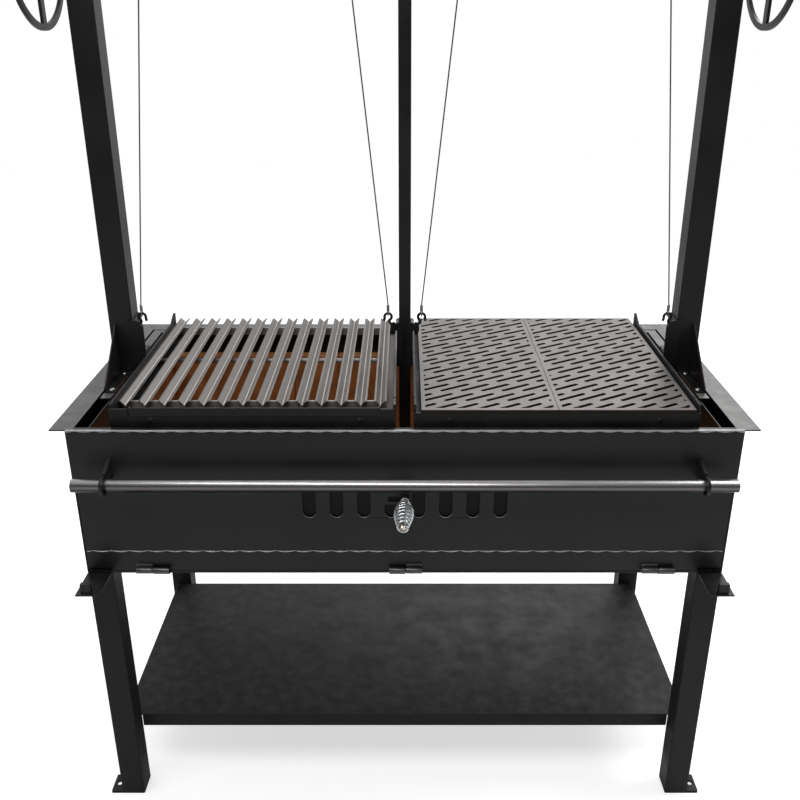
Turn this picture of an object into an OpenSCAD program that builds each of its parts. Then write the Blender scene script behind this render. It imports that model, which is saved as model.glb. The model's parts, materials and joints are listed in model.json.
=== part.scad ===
// Free-standing charcoal and wood grill with two cooking grates that are raised and lowered by hand winches.
// Millimetres. X runs along the width, -Y is the cook's side, Z is up. The origin is on the floor, at the middle.

/* [Firebox] */
// Width over the outer side panels
body_w = 1280; // [1240:10:1320]
// Top of the rim above the floor
rim_z = 907; // [880:1:930]
// Outer face of the front panels
front_y = -265; // [-275:1:-255]
// Rear edge of the rim
rear_y = 380; // [370:1:390]
// Width of the outer rim flange
rim_flange = 44; // [30:1:50]
// Clear gap between the outer flange and the inner rim
rim_gap = 5; // [3:1:8]
// Half of the clear width between the inner steel walls
well_half_w = 601; // [595:1:605]
// Sheet thickness of panels and door
sheet = 3; // [2:0.5:4]
// Underside of the firebox above the floor
body_bottom_z = 590; // [560:1:600]

/* [Bricks] */
// Standing height of a wall brick
brick_l = 228.6; // [200:1:240]
// Nominal brick width
brick_w = 114.3; // [100:1:125]
// Brick thickness
brick_t = 31.75; // [25:0.25:38]
// Joint between bricks
brick_joint = 1.5; // [1:0.5:3]

/* [Door] */
// Height of the seam between apron and door
seam_z = 802.5; // [795:0.5:803]
// Hinge axis height
hinge_z = 603; // [600:0.5:606]
// Distance between air slots
vent_pitch = 53.2; // [50:0.1:56]
// Width of an air slot
vent_w = 25.4; // [20:0.1:26]
// Length of one barrel hinge
hinge_l = 66; // [50:1:80]

/* [Grates] */
// Lowest edge of the V bars above the floor
v_tip_z = 925; // [922:1:930]
// Distance between V bars
v_pitch = 38.1; // [36:0.1:38.1]
// Number of V bars
v_count = 14; // [12:1:14]
// Top width of a V bar
v_open = 24.7; // [20:0.1:26]
// Top of the slotted plates
plate_top_z = 940; // [938:0.5:944]
// Thickness of the slotted plates
plate_t = 6.35; // [5:0.05:8]
// Distance between slots across a plate
slot_pitch = 40.6; // [38:0.1:44]
// Distance between rows of slots
slot_row = 50; // [46:0.5:54]

/* [Lift] */
// Width of an outer post
post_w = 50.8; // [45:0.1:52]
// Inner face of the outer posts
post_in_x = 583; // [580:0.5:586]
// Width of the centre post
mid_post_w = 25.4; // [22:0.1:26]
// Y of the posts and winch shafts
post_y = 65; // [60:1:70]
// Height of the winch shafts
shaft_z = 1745; // [1700:1:1760]
// Radius of the winch shafts
shaft_r = 9.5; // [8:0.1:12]
// Radius of the drum's core
drum_r = 19.72; // [18:0.01:22]
// Radius of a lift cable
cable_r = 1.5; // [1:0.1:2]
// Lean of a cable across the width, from hook to drum
cable_lean = 72.5; // [60:0.5:80]
// Radius of the hand wheel's rim
wheel_r = 140; // [120:1:160]

/* [Hidden] */
$fn = 48;
// Heights and depths worked out from the dimensions above
floor_t = 4.8;
floor_top_z = body_bottom_z + floor_t;
brick_floor_z = floor_top_z + brick_t;
brick_top_z = brick_floor_z + brick_l;
well_front_y = front_y + 15;
well_back_y = rear_y - rim_flange - rim_gap - 16;
rim_in_x = body_w / 2 + 31 - rim_flange;
jacket_x = body_w / 2;
rim_t = 4.8;
door_half_w = body_w / 2 - 6;
hinge_y = front_y - 8;
hinge_r = 6.35;
pin_r = 4;
bar_r = 12.7;
bar_y = front_y - 50;
bar_z = rim_z - 90;
bracket_x = 560;
leg_w = 50.8;
leg_x = body_w / 2 - leg_w / 2;
leg_front_y = front_y + 3 + leg_w / 2;
leg_back_y = rear_y - rim_flange - 13;
rail_out_x = 555.6;
rail_in_x = 17.2;
rail_t = 4.8;
rail_z = 909;
ledge_z = rail_z + rail_t;
rail_top_z = v_tip_z + 24;
lift_front_y = post_y - 308;
rail_back_y = post_y + 228;
v_front_y = post_y - 259;
v_back_y = post_y + 268;
v_first_x = -542.8;
v_t = 2.6;
post_out_x = post_in_x + post_w;
post_top_z = 1780;
guide_gap = 0.5;
guide_t = 4;
cable_y = post_y - drum_r - cable_r;
hook_r = 9;
hook_wire_r = 2.6;
hook_z = 1030;
cable_low_z = hook_z + hook_r + 21;
drum_x = [108.2, 489.2];
hook_x = [drum_x[0] - cable_lean, drum_x[1] + cable_lean];
ratchet_x = 645;
wheel_x = 690;
grip_radius = 122;
pawl_z = shaft_z - 65;
plate_x = [31.3, 291.8];
plate_w = 260;
plate_back_y = post_y + 261;

// A box given by its lowest and highest corners
module block(low, high) { translate(low) cube(high - low); }
// The same shape on the left and on the right
module both_sides() { children(); mirror([1, 0, 0]) children(); }
// An outline in Y and Z, extruded along X from x0 by w
module yz_plate(x0, w) { translate([x0, 0, 0]) rotate([90, 0, 90]) linear_extrude(w) children(); }
// An outline in X and Z, extruded along +Y from y0 by w
module xz_plate(y0, w) { translate([0, y0 + w, 0]) rotate([90, 0, 0]) linear_extrude(w) children(); }
// A cylinder along X from x0 to x1
module x_rod(x0, x1, y, z, r) { translate([x0, y, z]) rotate([0, 90, 0]) cylinder(r = r, h = x1 - x0); }
// A shallow domed bolt head whose flat side faces -dir, at a point
module bolt_head(at, turn, r = 6) {
    translate(at) rotate(turn) intersection() {
        translate([0, 0, -r * 0.8]) sphere(r = r * 1.28);
        cylinder(r = r, h = r);
    }
}

// ---- Firebox ----
module firebox_floor() {
    color("dimgray") block([-jacket_x + sheet, front_y + 3, body_bottom_z],
        [jacket_x - sheet, rear_y - rim_flange + 16, floor_top_z]);
}
module firebox_back_wall() {
    color("dimgray") block([-well_half_w, well_back_y, floor_top_z],
        [well_half_w, well_back_y + sheet, rim_z - rim_t]);
}
module firebox_side_walls() {
    color("dimgray") both_sides() block([well_half_w, well_front_y, floor_top_z],
        [well_half_w + sheet, well_back_y + sheet, rim_z - rim_t]);
}
// A row of bricks side by side between two points of one axis
module brick_row(low, high, axis) {
    run = high[axis] - low[axis];
    n = round(run / brick_w);
    step = run / n;
    for (i = [0 : n - 1]) {
        a = [for (k = [0 : 2]) k == axis ? low[k] + i * step + brick_joint / 2 : low[k]];
        b = [for (k = [0 : 2]) k == axis ? low[k] + (i + 1) * step - brick_joint / 2 : high[k]];
        block(a, b);
    }
}
module floor_bricks() {
    rows = 5;
    run = (well_back_y - well_front_y) / rows;
    color("peru") for (j = [0 : rows - 1])
        brick_row([-well_half_w, well_front_y + j * run + brick_joint / 2, floor_top_z],
            [well_half_w, well_front_y + (j + 1) * run - brick_joint / 2, brick_floor_z], 0);
}
module back_bricks() {
    color("peru") brick_row([-well_half_w, well_back_y - brick_t, brick_floor_z],
        [well_half_w, well_back_y, brick_top_z], 0);
}
module side_brick_wall() {
    brick_row([well_half_w - brick_t, well_front_y, brick_floor_z],
        [well_half_w, well_back_y - brick_t, brick_top_z], 1);
}
module left_bricks() { color("peru") mirror([1, 0, 0]) side_brick_wall(); }
module right_bricks() { color("peru") side_brick_wall(); }
// Outer side panel with its flange along the top
module side_jacket() {
    block([jacket_x - sheet, front_y + sheet + 0.5, body_bottom_z],
        [jacket_x, rear_y - rim_flange + 16, rim_z - sheet]);
    block([rim_in_x, front_y + sheet + 0.5, rim_z - sheet], [rim_in_x + rim_flange, rear_y, rim_z]);
}
module left_jacket() { color("black") mirror([1, 0, 0]) side_jacket(); }
module right_jacket() { color("black") side_jacket(); }
module rear_jacket() {
    back = rear_y - rim_flange + 13;
    color("black") {
        block([-jacket_x + sheet, back, floor_top_z], [jacket_x - sheet, back + sheet, rim_z - sheet]);
        block([-rim_in_x, rear_y - rim_flange, rim_z - sheet], [rim_in_x, rear_y, rim_z]);
    }
}
module front_apron() {
    color("black") {
        block([-jacket_x, front_y, seam_z + 1.5], [jacket_x, front_y + 3.5, rim_z]);
        block([-rim_in_x, front_y + 3.5, rim_z - sheet], [rim_in_x, front_y + 15, rim_z - 0.2]);
    }
}
module door_jambs() {
    color("black") both_sides() block([590, front_y + 3.5, floor_top_z],
        [jacket_x - sheet, front_y + 6.5, seam_z + 30]);
}
// Inner rim, open at the front
module inner_rim() {
    front = post_y - 172;
    color("gray") {
        both_sides() {
            block([well_half_w, front, rim_z - rim_t], [rim_in_x - rim_gap, well_back_y + 16, rim_z]);
            block([post_in_x - 3, post_y - 28, rim_z - rim_t], [well_half_w, post_y + 28, rim_z]);
        }
        block([-well_half_w, well_back_y, rim_z - rim_t], [well_half_w, well_back_y + 16, rim_z]);
    }
}

// ---- Posts ----
module outer_post() {
    difference() {
        block([post_in_x, post_y - post_w / 2, rim_z], [post_out_x, post_y + post_w / 2, post_top_z]);
        block([post_in_x + 3, post_y - post_w / 2 + 3, rim_z + 3],
            [post_out_x - 3, post_y + post_w / 2 - 3, post_top_z - 3]);
        x_rod(post_in_x - 5, post_out_x + 5, post_y, shaft_z, shaft_r + 4.5);
    }
}
module left_post() { color("black") mirror([1, 0, 0]) outer_post(); }
module right_post() { color("black") outer_post(); }
module centre_post() {
    half = mid_post_w / 2;
    color("black") {
        block([-half, post_y - half, brick_floor_z + 6], [half, post_y + half, shaft_z - 25]);
        block([-45, post_y - 45, brick_floor_z], [45, post_y + 45, brick_floor_z + 6]);
    }
}
// Upright triangular plate with a foot, in front of and behind each outer post
module post_gussets() {
    high = 107;
    deep = 119;
    foot_z = rim_z + sheet;
    y0 = post_y - post_w / 2;
    y1 = post_y + post_w / 2;
    color("black") both_sides() {
        yz_plate(618, sheet) polygon([[y0, foot_z], [y0, foot_z + high], [y0 - 6, foot_z + high],
            [y0 - deep, foot_z + 8], [y0 - deep, foot_z]]);
        block([602, y0 - deep, rim_z], [621, y0, foot_z]);
        yz_plate(618, sheet) polygon([[y1, foot_z], [y1, foot_z + high], [y1 + 6, foot_z + high],
            [y1 + deep, foot_z + 8], [y1 + deep, foot_z]]);
        block([602, y1, rim_z], [621, y1 + deep, foot_z]);
    }
}
module top_tie_bar() {
    color("black") block([-post_out_x, post_y - 12.7, post_top_z], [post_out_x, post_y + 12.7, post_top_z + 25.4]);
}
module shaft_bearings() {
    bush_r = shaft_r + 4.5;
    color("goldenrod") {
        both_sides() difference() {
            union() {
                x_rod(post_in_x - 1, post_out_x + 1, post_y, shaft_z, bush_r);
                x_rod(post_in_x - 4, post_in_x, post_y, shaft_z, bush_r + 5);
                x_rod(post_out_x, post_out_x + 4, post_y, shaft_z, bush_r + 5);
            }
            x_rod(post_in_x - 10, post_out_x + 10, post_y, shaft_z, shaft_r + 0.05);
        }
        difference() {
            block([-25, post_y - 20, shaft_z - 25], [25, post_y + 20, post_top_z]);
            x_rod(-30, 30, post_y, shaft_z, shaft_r + 0.05);
        }
    }
}

// ---- Front bar, stand and hinges ----
module front_bar() {
    color("darkgray") x_rod(-622, 622, bar_y, bar_z, bar_r);
}
module front_bar_brackets() {
    color("black") both_sides() difference() {
        union() {
            yz_plate(bracket_x, 6.35) polygon([[front_y, bar_z + 33], [bar_y + 10, bar_z + 20],
                [bar_y + 10, bar_z - 17], [front_y, bar_z - 8]]);
            x_rod(bracket_x, bracket_x + 6.35, bar_y, bar_z, bar_r + 6);
        }
        x_rod(bracket_x - 5, bracket_x + 15, bar_y, bar_z, bar_r);
    }
}
// Flat arms under the firebox that carry the open door on two stops
module door_rests() {
    z = body_bottom_z;
    color("black") both_sides() {
        block([592, front_y - 75, z - sheet], [jacket_x, front_y + 3, z]);
        block([610, front_y - 70, z], [630, front_y - 60, hinge_z + 7.4]);
    }
}
module leg(x, y) {
    translate([x, y, 0]) difference() {
        union() {
            translate([-leg_w / 2, -leg_w / 2, 6]) cube([leg_w, leg_w, body_bottom_z - 6]);
            translate([-leg_w / 2, -leg_w / 2, 0]) cube([leg_w + 25, leg_w, 6]);
        }
        translate([leg_w / 2 + 13, 0, -1]) cylinder(r = 5.5, h = 8);
    }
}
module legs() {
    color("black") both_sides() {
        for (y = [leg_front_y, leg_back_y]) leg(leg_x, y);
        block([leg_x - 12.7, leg_front_y + leg_w / 2, 150], [leg_x + 12.7, leg_back_y - leg_w / 2, 180]);
    }
}
module lower_shelf() {
    half = leg_x - leg_w / 2;
    color("black") {
        block([-leg_x, leg_front_y + leg_w / 2, 180], [leg_x, leg_back_y - leg_w / 2, 183]);
        block([-half, leg_front_y + leg_w / 2, 150], [half, leg_front_y + leg_w / 2 + 3, 180]);
        block([-half, leg_back_y - leg_w / 2 - 3, 150], [half, leg_back_y - leg_w / 2, 180]);
    }
}
// Barrel hinges: centre, and which end carries the half that moves with the door
hinges = [[-504, -1], [2, 1], [507, -1]];
leaf_z = hinge_z - 10;
module hinge_fixed_halves() {
    color("silver") for (h = hinges) {
        far = h[0] - h[1] * hinge_l / 2;
        near = h[0] - h[1] * 0.5;
        tip = h[0] + h[1] * (hinge_l / 2 - 3);
        x_rod(min(far, near), max(far, near), hinge_y, hinge_z, hinge_r);
        x_rod(min(near, tip), max(near, tip), hinge_y, hinge_z, pin_r);
        block([min(far, near), hinge_y + 2, leaf_z], [max(far, near), hinge_y + 6.3, hinge_z - 3]);
        block([min(far, near), hinge_y + 2, leaf_z], [max(far, near), front_y + 3, leaf_z + 2.5]);
    }
}
module hinge_moving_halves() {
    color("silver") for (h = hinges) {
        near = h[0] + h[1] * 0.5;
        far = h[0] + h[1] * hinge_l / 2;
        difference() {
            union() {
                x_rod(min(far, near), max(far, near), hinge_y, hinge_z, hinge_r);
                block([min(far, near), front_y - sheet, hinge_z], [max(far, near), front_y, hinge_z + 12]);
            }
            x_rod(min(far, near) - 1, max(far, near) + 1, hinge_y, hinge_z, pin_r + 0.05);
        }
    }
}
module body_bolts() {
    color("silver") both_sides() for (y = [post_y - 130, post_y - 37, post_y + 37, post_y + 120])
        bolt_head([610, y, rim_z + sheet], [0, 0, 0], 6.5);
}

// ---- Door ----
vent_low_z = 720;
vent_top_z = 790;
handle_z = 760.5;
module vent_slot(x, z0, z1) {
    r = vent_w / 2;
    translate([x - r, z0 + r]) square([vent_w, z1 - z0 - vent_w]);
    translate([x, z0 + r]) circle(r = r);
    translate([x, z1 - r]) circle(r = r);
}
module door_panel() {
    bottom = hinge_z - 6;
    notch = hinge_z + 1;
    color("black") {
        xz_plate(front_y, sheet) difference() {
            polygon([[-588, bottom], [588, bottom], [588, notch], [door_half_w, notch],
                [door_half_w, seam_z - 1.5], [-door_half_w, seam_z - 1.5], [-door_half_w, notch], [-588, notch]]);
            for (i = [-4 : 3]) if (i != -1) vent_slot((i + 0.5) * vent_pitch, vent_low_z, vent_top_z);
            translate([-0.5 * vent_pitch, vent_low_z + vent_w / 2]) circle(r = vent_w / 2);
            translate([-0.5 * vent_pitch - vent_w / 2, vent_low_z + vent_w / 2]) square([vent_w, 16]);
            translate([-32.8, handle_z - 5.5]) square([39, 11]);
        }
        for (z = [700, 795]) {
            lip = z == 700 ? [700, 711] : [790, 799];
            block([-260, front_y + sheet, z], [260, front_y + 8, z + 4]);
            block([-260, front_y + 6, lip[0]], [260, front_y + 8, lip[1]]);
        }
    }
}
damper_y = front_y + sheet + 0.5;
module damper_plate() {
    color("dimgray") xz_plate(damper_y, 2) difference() {
        translate([-225, 704.5]) square([455, 90]);
        for (i = [-3 : 4]) if (i != 0 && i != 1) vent_slot(i * vent_pitch, vent_low_z, vent_top_z - 2);
        for (i = [0, 1]) translate([i * vent_pitch - vent_w / 2, vent_low_z]) square([vent_w, 28]);
    }
}
// Spring grip: a bulging coil of round wire on a stem
coil_turns = 9;
function bulge(t) = 8.5 + 9.5 * pow(sin(180 * pow(t, 0.8)), 1.2);
coil_y0 = front_y - 14;
coil_y1 = front_y - 103;
module spring_handle() {
    wire = 2.6;
    color("silver") {
        translate([0, damper_y, handle_z]) rotate([90, 0, 0]) cylinder(r = 4, h = damper_y - coil_y1 + 1);
        for (k = [0 : coil_turns - 1]) {
            t = (k + 0.5) / coil_turns;
            y = coil_y0 + t * (coil_y1 - coil_y0);
            translate([0, y, handle_z]) rotate([90, 0, 0]) rotate_extrude()
                translate([bulge(t) - wire, 0]) circle(r = wire + 1.4, $fn = 24);
        }
        translate([0, front_y - 6, handle_z]) rotate([90, 0, 0]) cylinder(r = 8, h = 6);
        for (t = [0.12, 0.5, 0.88]) translate([0, coil_y0 + t * (coil_y1 - coil_y0) + 1, handle_z])
            rotate([90, 0, 0]) cylinder(r = bulge(t) - 3, h = 2);
    }
}
module handle_nut() {
    color("silver") difference() {
        translate([0, coil_y1 - 1, handle_z]) rotate([90, 0, 0]) cylinder(r = 8.5, h = 11);
        translate([0, coil_y1, handle_z]) rotate([90, 0, 0]) cylinder(r = 4, h = 2);
    }
}

// ---- Lift frames ----
// Flat bar on edge with a ledge along its foot; back_rise lifts the rear end
module angle_rail(x, inward, wide, back_rise) {
    xin = inward > 0 ? x : x - rail_t;
    y0 = lift_front_y + rail_t;
    yz_plate(xin, rail_t) polygon([[y0, rail_z], [rail_back_y, rail_z],
        [rail_back_y, rail_top_z + back_rise], [rail_back_y - 6, rail_top_z + back_rise],
        [rail_back_y - 40, rail_top_z], [y0, rail_top_z]]);
    block([min(x, x + inward * wide), y0, rail_z], [max(x, x + inward * wide), rail_back_y, ledge_z]);
}
module outer_rail() { angle_rail(rail_out_x + rail_t, -1, 34.5, 15); }
module inner_rail() { angle_rail(rail_in_x, 1, 30, 0); }
module left_outer_rail() { color("black") mirror([1, 0, 0]) outer_rail(); }
module left_inner_rail() { color("black") mirror([1, 0, 0]) inner_rail(); }
module right_outer_rail() { color("black") outer_rail(); }
module right_inner_rail() { color("black") inner_rail(); }
bar_low_z = rim_z - 12;
module carriage_bolts(side) {
    for (x = [86, 483]) bolt_head([side * x, lift_front_y, v_tip_z - 7], [90, 0, 0], 5);
    for (x = [rail_in_x, rail_out_x])
        bolt_head([side * (x + rail_t / 2), lift_front_y + 40, rail_top_z], [0, 0, 0], 3.2);
}
module left_cross_bars() {
    y = lift_front_y;
    x0 = -rail_out_x - rail_t;
    color("black") {
        block([x0, y, bar_low_z], [-rail_in_x, y + rail_t, v_tip_z + 1]);
        block([x0, y, v_tip_z + 1], [-524, y + rail_t, v_tip_z + 16]);
        block([-46.5, y, v_tip_z + 1], [-rail_in_x, y + rail_t, v_tip_z + 16]);
        block([-rail_out_x, rail_back_y - rail_t, ledge_z], [-rail_in_x - rail_t, rail_back_y, ledge_z + 9]);
        carriage_bolts(-1);
    }
}
module right_cross_bars() {
    y = lift_front_y;
    x1 = rail_out_x + rail_t;
    color("black") {
        block([rail_in_x, y, bar_low_z], [x1, y + rail_t, plate_top_z - plate_t - 0.5]);
        block([rail_in_x + rail_t, rail_back_y - rail_t, ledge_z], [rail_out_x, rail_back_y, ledge_z + 9]);
        block([281, y + rail_t, rail_z], [302, rail_back_y - rail_t, ledge_z]);
        carriage_bolts(1);
    }
}
// Sliding shoe that grips a post from three sides: outline in X and Y
module guide_shoe(face, sgn, half, lip, low, high) {
    back = face - sgn * guide_gap;
    y0 = post_y - half - guide_gap;
    y1 = post_y + half + guide_gap;
    a = back - sgn * guide_t;
    b = face + sgn * lip;
    block([min(a, back), y0 - guide_t, low], [max(a, back), y1 + guide_t, high]);
    block([min(a, b), y0 - guide_t, low], [max(a, b), y0, high]);
    block([min(a, b), y1, low], [max(a, b), y1 + guide_t, high]);
}
module side_guides() {
    y0 = post_y - post_w / 2 - guide_gap - guide_t;
    ym = post_y - mid_post_w / 2 - guide_gap - guide_t;
    shoe_x = post_in_x - guide_gap - guide_t;
    guide_shoe(post_in_x, 1, post_w / 2, 8, rail_z + 14, rail_z + 118);
    // Web from the outer rail to the shoe, with a rounded ear at the top
    xz_plate(y0, guide_t) {
        translate([rail_out_x + rail_t, rail_z + 14]) square([shoe_x - rail_out_x - rail_t, 92]);
        intersection() {
            translate([shoe_x, rail_z + 104]) circle(r = 14);
            translate([rail_out_x + rail_t, rail_z + 104]) square([shoe_x - rail_out_x - rail_t, 20]);
        }
    }
    block([567, y0 + guide_t, hook_z - 30], [575, cable_y + 4, hook_z - 16]);
    // Shoe on the centre post
    guide_shoe(mid_post_w / 2, -1, mid_post_w / 2, 9, rail_z + 9, rail_z + 109);
    block([rail_in_x, ym, hook_z - 30], [31, ym + guide_t, hook_z - 14]);
    block([23, cable_y - 3, hook_z - 30], [31, ym, hook_z - 16]);
}
module left_guides() { color("black") mirror([1, 0, 0]) side_guides(); }
module right_guides() { color("black") side_guides(); }
// Hook with its crimped cable eye, standing on the ear of a shoe
module hook(x, toward) {
    w = hook_wire_r;
    translate([x, cable_y, hook_z]) {
        rotate([90, 0, 0]) rotate_extrude(angle = 180) translate([hook_r, 0]) circle(r = w, $fn = 24);
        translate([toward * hook_r, 0, -16]) cylinder(r = w, h = 16);
        translate([-toward * hook_r, 0, -12]) cylinder(r = w, h = 12);
        translate([-toward * hook_r, 0, -12]) sphere(r = w);
        translate([0, 0, hook_r]) cylinder(r = 4, h = 21);
    }
}
module side_hooks() { hook(hook_x[0], -1); hook(hook_x[1], 1); }
module left_hooks() { color("dimgray") mirror([1, 0, 0]) side_hooks(); }
module right_hooks() { color("dimgray") side_hooks(); }
// Straight cables from the hooks up to the drums
module side_cables() {
    rise = shaft_z - cable_low_z;
    turn = atan(cable_lean / rise);
    run = sqrt(rise * rise + cable_lean * cable_lean);
    for (i = [0, 1]) translate([hook_x[i], cable_y, cable_low_z])
        rotate([0, i == 0 ? turn : -turn, 0]) translate([0, 0, 0.5]) cylinder(r = cable_r, h = run - 0.5);
}
module left_cables() { color("silver") mirror([1, 0, 0]) side_cables(); }
module right_cables() { color("silver") side_cables(); }

// ---- Grates ----
module v_outline() {
    h = v_open / 2;
    flat = v_t * sqrt(2);
    polygon([[0, 0], [h, h], [h - flat, h], [0, flat], [-h + flat, h], [-h, h]]);
}
module v_bars() {
    color("gray") for (i = [0 : v_count - 1]) translate([v_first_x + i * v_pitch, 0, v_tip_z])
        xz_plate(v_front_y, v_back_y - v_front_y) v_outline();
}
module v_supports() {
    low = ledge_z + 0.4;
    last_x = v_first_x + (v_count - 1) * v_pitch;
    color("gray") {
        for (y = [v_front_y + 12, rail_back_y - 20]) xz_plate(y, 5) polygon(concat(
            [[v_first_x - 12, low], [last_x + 12, low]],
            [for (i = [v_count - 1 : -1 : 0]) each [[v_first_x + i * v_pitch + 7, v_tip_z + 7],
                [v_first_x + i * v_pitch, v_tip_z], [v_first_x + i * v_pitch - 7, v_tip_z + 7]]]));
        x_rod(v_first_x - 9, last_x + 9, post_y + 14, v_tip_z - 5, 5);
    }
}
module drip_tray() {
    t = 1.8;
    y = lift_front_y;
    x0 = -522.3;
    x1 = -47.9;
    lip = v_tip_z + 19;
    step = v_tip_z + 1.5;
    low = v_tip_z - 19;
    back = v_front_y - 3;
    outline = [[y, lip], [y, step], [y + 7.5, step], [y + 7.5, low], [back, low], [back, step - 4]];
    hollow = [[back - t, step - 4], [back - t, low + t], [y + 7.5 + t, low + t], [y + 7.5 + t, step + t],
        [y + t, step + t], [y + t, lip]];
    color("darkgray") {
        yz_plate(x0, x1 - x0) polygon(concat(outline, hollow));
        for (x = [x0, x1 - t]) yz_plate(x, t) polygon(concat(outline, [[y + 9, lip]]));
    }
}
// Slots on an oblique lattice, cut off by a plain border
module slot_field(x0) {
    border = 8;
    dx = 51;
    dy = 31.6;
    len = norm([dx, dy]);
    // Start of the first slot from the plate's rear corner, and the shift of each further row
    first = [-9.8, -21.2];
    shift = 5.9;
    half_w = 4.3;
    intersection() {
        translate([x0 + border, lift_front_y + border + 2]) square([plate_w - 2 * border,
            plate_back_y - lift_front_y - 2 * border - 2]);
        union() for (row = [0 : 12], col = [-3 : 6])
            translate([x0 + first[0] + col * slot_pitch + row * shift, plate_back_y + first[1] - row * slot_row])
                rotate(atan2(dy, dx)) {
                    translate([0, -half_w]) square([len, 2 * half_w]);
                    circle(r = half_w, $fn = 16);
                    translate([len, 0]) circle(r = half_w, $fn = 16);
                }
    }
}
module slotted_plate(x0) {
    under = plate_top_z - plate_t;
    translate([0, 0, under]) linear_extrude(plate_t) difference() {
        translate([x0, lift_front_y]) square([plate_w, plate_back_y - lift_front_y]);
        slot_field(x0);
    }
    for (y = [lift_front_y + 12, rail_back_y - 30])
        block([x0 + (x0 < 100 ? 2 : 0), y, ledge_z + 0.4], [x0 + plate_w - 1, y + 6, under]);
}
module inner_slotted_plate() { color("gray") slotted_plate(plate_x[0]); }
module outer_slotted_plate() { color("gray") slotted_plate(plate_x[1]); }

// ---- Winches ----
module side_shaft() { x_rod(1.5, wheel_x + 8, post_y, shaft_z, shaft_r); }
module left_shaft() { color("silver") mirror([1, 0, 0]) side_shaft(); }
module right_shaft() { color("silver") side_shaft(); }
module side_drums() {
    for (x = drum_x) difference() {
        union() {
            x_rod(x - 14, x + 14, post_y, shaft_z, drum_r);
            for (e = [-17, 14]) x_rod(x + e, x + e + 3, post_y, shaft_z, drum_r + 13);
        }
        x_rod(x - 20, x + 20, post_y, shaft_z, shaft_r);
    }
}
module left_drums() { color("gray") mirror([1, 0, 0]) side_drums(); }
module right_drums() { color("gray") side_drums(); }
teeth = 8;
module side_ratchet() {
    tip_r = 38;
    root_r = 27;
    step = 360 / teeth;
    // A valley stands straight below the shaft, where the pawl enters it
    points = [for (i = [0 : teeth - 1]) for (p = [[16, root_r], [19, tip_r], [26, tip_r], [29, root_r]])
        let (a = -90 + i * step + p[0]) [p[1] * cos(a), p[1] * sin(a)]];
    difference() {
        translate([0, post_y, shaft_z]) yz_plate(ratchet_x, 6) polygon(points);
        x_rod(ratchet_x - 1, ratchet_x + 7, post_y, shaft_z, shaft_r);
    }
}
module left_ratchet() { color("dimgray") mirror([1, 0, 0]) side_ratchet(); }
module right_ratchet() { color("dimgray") side_ratchet(); }
module side_handwheel() {
    translate([wheel_x, post_y, shaft_z]) rotate([0, 90, 0]) difference() {
        union() {
            translate([0, 0, -10]) cylinder(r = 22, h = 24);
            rotate_extrude($fn = 96) translate([wheel_r - 6, -3.5]) square([12, 7]);
            for (a = [0 : 90 : 270]) rotate(a) translate([18, -9, -3]) cube([wheel_r - 20, 18, 6]);
            translate([-grip_radius, 0, -3]) cylinder(r = 13, h = 6);
            translate([-grip_radius, 0, 3]) cylinder(r = 5, h = 94);
            translate([-grip_radius, 0, 97]) cylinder(r = 9, h = 3);
        }
        translate([0, 0, -12]) cylinder(r = shaft_r, h = 20);
    }
}
module left_handwheel() { color("black") mirror([1, 0, 0]) side_handwheel(); }
module right_handwheel() { color("black") side_handwheel(); }
module side_grip() {
    translate([wheel_x, post_y, shaft_z + grip_radius]) rotate([0, 90, 0]) translate([0, 0, 4]) difference() {
        rotate_extrude() polygon([[0, 0], [12, 0], [14, 10], [15.5, 45], [14, 82], [12, 92], [0, 92]]);
        translate([0, 0, -1]) cylinder(r = 5.08, h = 96);
    }
}
module left_grip() { color("saddlebrown") mirror([1, 0, 0]) side_grip(); }
module right_grip() { color("saddlebrown") side_grip(); }
// Pawl on a pin below the ratchet, parked leaning back
module side_pawl() {
    translate([ratchet_x, post_y, pawl_z]) rotate([-45, 0, 0]) difference() {
        union() {
            rotate([0, 90, 0]) cylinder(r = 9, h = 6);
            yz_plate(0, 6) polygon([[-8, 0], [-2.5, 30], [2.5, 30], [8, 0]]);
        }
        translate([-1, 0, 0]) rotate([0, 90, 0]) cylinder(r = 4.06, h = 8);
    }
}
module left_pawl() { color("dimgray") mirror([1, 0, 0]) side_pawl(); }
module right_pawl() { color("dimgray") side_pawl(); }

firebox_floor();
firebox_back_wall();
firebox_side_walls();
floor_bricks();
back_bricks();
left_bricks();
right_bricks();
left_jacket();
right_jacket();
rear_jacket();
front_apron();
door_jambs();
inner_rim();
left_post();
right_post();
centre_post();
post_gussets();
top_tie_bar();
shaft_bearings();
front_bar();
front_bar_brackets();
door_rests();
legs();
lower_shelf();
hinge_fixed_halves();
body_bolts();
left_cables();
right_cables();
door_panel();
hinge_moving_halves();
damper_plate();
spring_handle();
handle_nut();
left_outer_rail();
left_inner_rail();
left_cross_bars();
left_guides();
left_hooks();
v_bars();
v_supports();
drip_tray();
right_outer_rail();
right_inner_rail();
right_cross_bars();
right_guides();
right_hooks();
inner_slotted_plate();
outer_slotted_plate();
left_shaft();
left_drums();
left_ratchet();
left_handwheel();
left_grip();
left_pawl();
right_shaft();
right_drums();
right_ratchet();
right_handwheel();
right_grip();
right_pawl();
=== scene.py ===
"""Looks of a charcoal and wood grill with two winched grates, laid out as an add-on."""
import json
import math

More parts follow.
